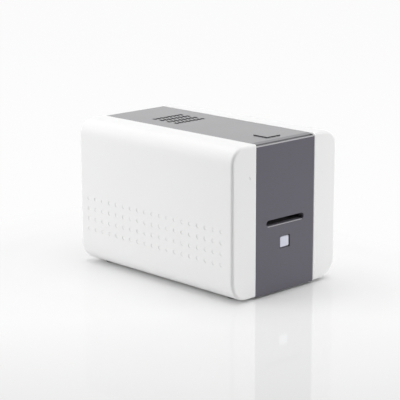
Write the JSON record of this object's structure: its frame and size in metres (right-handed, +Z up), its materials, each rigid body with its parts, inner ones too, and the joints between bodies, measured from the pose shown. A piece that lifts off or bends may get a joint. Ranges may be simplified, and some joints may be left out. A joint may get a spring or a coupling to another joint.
{
  "type": "id card printer",
  "caption": "Desktop card printer with white rounded side covers, a dark centre band, a front card slot, a square key, a vented hinged lid and its feed, ribbon and head inside.",
  "frame": {"origin": "centre of the footprint on the table, under the rubber feet", "axes": "+Z up, the front with the card slot faces -Y, +X to the right seen from the front"},
  "size_m": [0.163, 0.247, 0.1695],
  "materials": {
    "shell_white": "satin white",
    "shell_dark": "fine matt dark grey",
    "lens": "translucent satin",
    "tray_grey": "matt",
    "rubber": "matt",
    "sheet_steel": "zinc plated",
    "pin_steel": "polished",
    "screw_steel": "zinc plated",
    "guide_plastic": "matt",
    "roller_rubber": "ground",
    "gear_plastic": "acetal",
    "brass": "machined",
    "motor_case": "black",
    "motor_can": "drawn",
    "cassette_plastic": "satin",
    "spool_plastic": "satin",
    "ribbon": "glossy film",
    "cleaner": "tacky",
    "aluminium": "extruded",
    "ceramic": "glazed",
    "fan_plastic": "matt",
    "board": "solder mask",
    "chips": "moulded",
    "port_metal": "tin plated",
    "switch_black": "matt"
  },
  "bodies": {
    "chassis": {"left_cover": "shell_white", "right_cover": "shell_white", "front_panel": "shell_dark", "rear_panel": "shell_dark", "base_tray": "tray_grey", "rubber_feet": "rubber", "cover_screws": "screw_steel", "hinge_pin": "pin_steel", "left_plate": "sheet_steel", "right_plate": "sheet_steel", "cross_bars": "sheet_steel", "chassis_screws": "screw_steel", "frame_studs": "pin_steel", "card_bed": "guide_plastic", "card_hopper": "guide_plastic", "roller_bushes": "gear_plastic", "pinch_bridges": "sheet_steel", "feed_motor": "motor_case", "cassette_frame": "cassette_plastic", "ribbon_film": "ribbon", "ribbon_motor": "motor_can", "ribbon_bracket": "sheet_steel", "main_board": "board", "board_parts": "chips", "rear_ports": "port_metal", "button_board": "board"},
    "lid_body": {"lid": "shell_dark", "head_bracket": "sheet_steel", "fan_frame": "fan_plastic"},
    "release": {"release_button": "shell_dark", "release_spring": "pin_steel"},
    "latch": {"latch_bar": "sheet_steel"},
    "front_key": {"front_button": "lens"},
    "rocker": {"power_rocker": "switch_black"},
    "weight": {"card_weight": "shell_dark"},
    "platen": {"platen_shaft": "pin_steel", "platen_sleeve": "roller_rubber", "platen_gear": "gear_plastic"},
    "exit_roller": {"exit_core": "gear_plastic", "exit_tyres": "roller_rubber"},
    "transport_roller": {"transport_core": "gear_plastic", "transport_tyres": "roller_rubber"},
    "pick_roller": {"pick_core": "gear_plastic", "pick_tyres": "roller_rubber"},
    "exit_nip": {"exit_pinch": "roller_rubber"},
    "cleaner_nip": {"cleaning_roller": "cleaner"},
    "gear_a": {"idler_a": "gear_plastic"},
    "gear_b": {"idler_b": "gear_plastic"},
    "gear_c": {"idler_c": "gear_plastic"},
    "pinion": {"feed_pinion": "brass"},
    "supply": {"supply_spool": "spool_plastic", "supply_roll": "ribbon"},
    "takeup": {"takeup_spool": "spool_plastic", "takeup_roll": "ribbon", "takeup_drive": "gear_plastic"},
    "ribbon_drive": {"ribbon_pinion": "brass"},
    "head": {"print_head": "aluminium", "head_strip": "ceramic", "head_springs": "pin_steel"},
    "fan": {"fan_rotor": "fan_plastic"}
  },
  "joints": [
    {"name": "lid_hinge", "type": "hinge", "parent": "chassis", "child": "lid_body", "pos_m": [0, 0.1181, 0.1636], "axis": [-1, 0, 0], "range_deg": [0, 80]},
    {"name": "release_press", "type": "slide", "parent": "lid_body", "child": "release", "axis": [0, 0, -1], "range_m": [0, 0.002], "stiffness_N_per_m": 400, "springref_m": -0.001, "deforming": ["release_spring"]},
    {"name": "latch_pivot", "type": "hinge", "parent": "lid_body", "child": "latch", "pos_m": [0, -0.1042, 0.1576], "axis": [-1, 0, 0], "range_deg": [0, 12]},
    {"name": "front_key_press", "type": "slide", "parent": "chassis", "child": "front_key", "axis": [0, 1, 0], "range_m": [0, 0.001], "stiffness_N_per_m": 600, "springref_m": -0.0005},
    {"name": "rocker_tilt", "type": "hinge", "parent": "chassis", "child": "rocker", "pos_m": [0.026, 0.1171, 0.048], "axis": [1, 0, 0], "range_deg": [-7, 7]},
    {"name": "weight_lift", "type": "slide", "parent": "chassis", "child": "weight", "axis": [0, 0, 1], "range_m": [0, 0.03]},
    {"name": "platen_spin", "type": "hinge", "parent": "chassis", "child": "platen", "pos_m": [0, -0.03, 0.0737], "axis": [1, 0, 0], "continuous": true},
    {"name": "exit_spin", "type": "hinge", "parent": "chassis", "child": "exit_roller", "pos_m": [0, -0.085, 0.0737], "axis": [1, 0, 0], "continuous": true},
    {"name": "transport_spin", "type": "hinge", "parent": "chassis", "child": "transport_roller", "pos_m": [0, 0.012, 0.0737], "axis": [1, 0, 0], "continuous": true},
    {"name": "pick_spin", "type": "hinge", "parent": "chassis", "child": "pick_roller", "pos_m": [0, 0.045, 0.0737], "axis": [1, 0, 0], "continuous": true},
    {"name": "exit_nip_spin", "type": "hinge", "parent": "chassis", "child": "exit_nip", "pos_m": [0, -0.085, 0.084], "axis": [1, 0, 0], "continuous": true},
    {"name": "cleaner_spin", "type": "hinge", "parent": "chassis", "child": "cleaner_nip", "pos_m": [0, 0.012, 0.084], "axis": [1, 0, 0], "continuous": true},
    {"name": "gear_a_spin", "type": "hinge", "parent": "chassis", "child": "gear_a", "pos_m": [0, -0.0575, 0.0737], "axis": [1, 0, 0], "continuous": true},
    {"name": "gear_b_spin", "type": "hinge", "parent": "chassis", "child": "gear_b", "pos_m": [0, -0.009, 0.0737], "axis": [1, 0, 0], "continuous": true},
    {"name": "gear_c_spin", "type": "hinge", "parent": "chassis", "child": "gear_c", "pos_m": [0, 0.0285, 0.05915], "axis": [1, 0, 0], "continuous": true},
    {"name": "pinion_spin", "type": "hinge", "parent": "chassis", "child": "pinion", "pos_m": [0, -0.0575, 0.0512], "axis": [1, 0, 0], "continuous": true},
    {"name": "supply_spin", "type": "hinge", "parent": "chassis", "child": "supply", "pos_m": [0, 0.008, 0.122], "axis": [1, 0, 0], "continuous": true},
    {"name": "takeup_spin", "type": "hinge", "parent": "chassis", "child": "takeup", "pos_m": [0, -0.078, 0.122], "axis": [1, 0, 0], "continuous": true},
    {"name": "ribbon_drive_spin", "type": "hinge", "parent": "chassis", "child": "ribbon_drive", "pos_m": [0, -0.078, 0.1028], "axis": [1, 0, 0], "continuous": true},
    {"name": "head_float", "type": "slide", "parent": "lid_body", "child": "head", "axis": [0, 0, 1], "range_m": [0, 0.0012], "stiffness_N_per_m": 3000, "springref_m": -0.001, "deforming": ["head_springs"]},
    {"name": "fan_spin", "type": "hinge", "parent": "lid_body", "child": "fan", "pos_m": [0, 0.0438, 0.158], "axis": [0, 0, 1], "continuous": true}
  ],
  "couplings": [
    {"joint": "gear_a_spin", "follows": "platen_spin", "ratio": -0.77419},
    {"joint": "exit_spin", "follows": "platen_spin", "ratio": 1},
    {"joint": "pinion_spin", "follows": "platen_spin", "ratio": 1.7143},
    {"joint": "gear_b_spin", "follows": "platen_spin", "ratio": -1.3333},
    {"joint": "transport_spin", "follows": "platen_spin", "ratio": 1},
    {"joint": "gear_c_spin", "follows": "platen_spin", "ratio": -1.2},
    {"joint": "pick_spin", "follows": "platen_spin", "ratio": 1},
    {"joint": "exit_nip_spin", "follows": "platen_spin", "ratio": -1.5},
    {"joint": "cleaner_spin", "follows": "platen_spin", "ratio": -1.5},
    {"joint": "ribbon_drive_spin", "follows": "takeup_spin", "ratio": -3},
    {"joint": "latch_pivot", "follows": "release_press", "rad_per_m": 104.72}
  ]
}
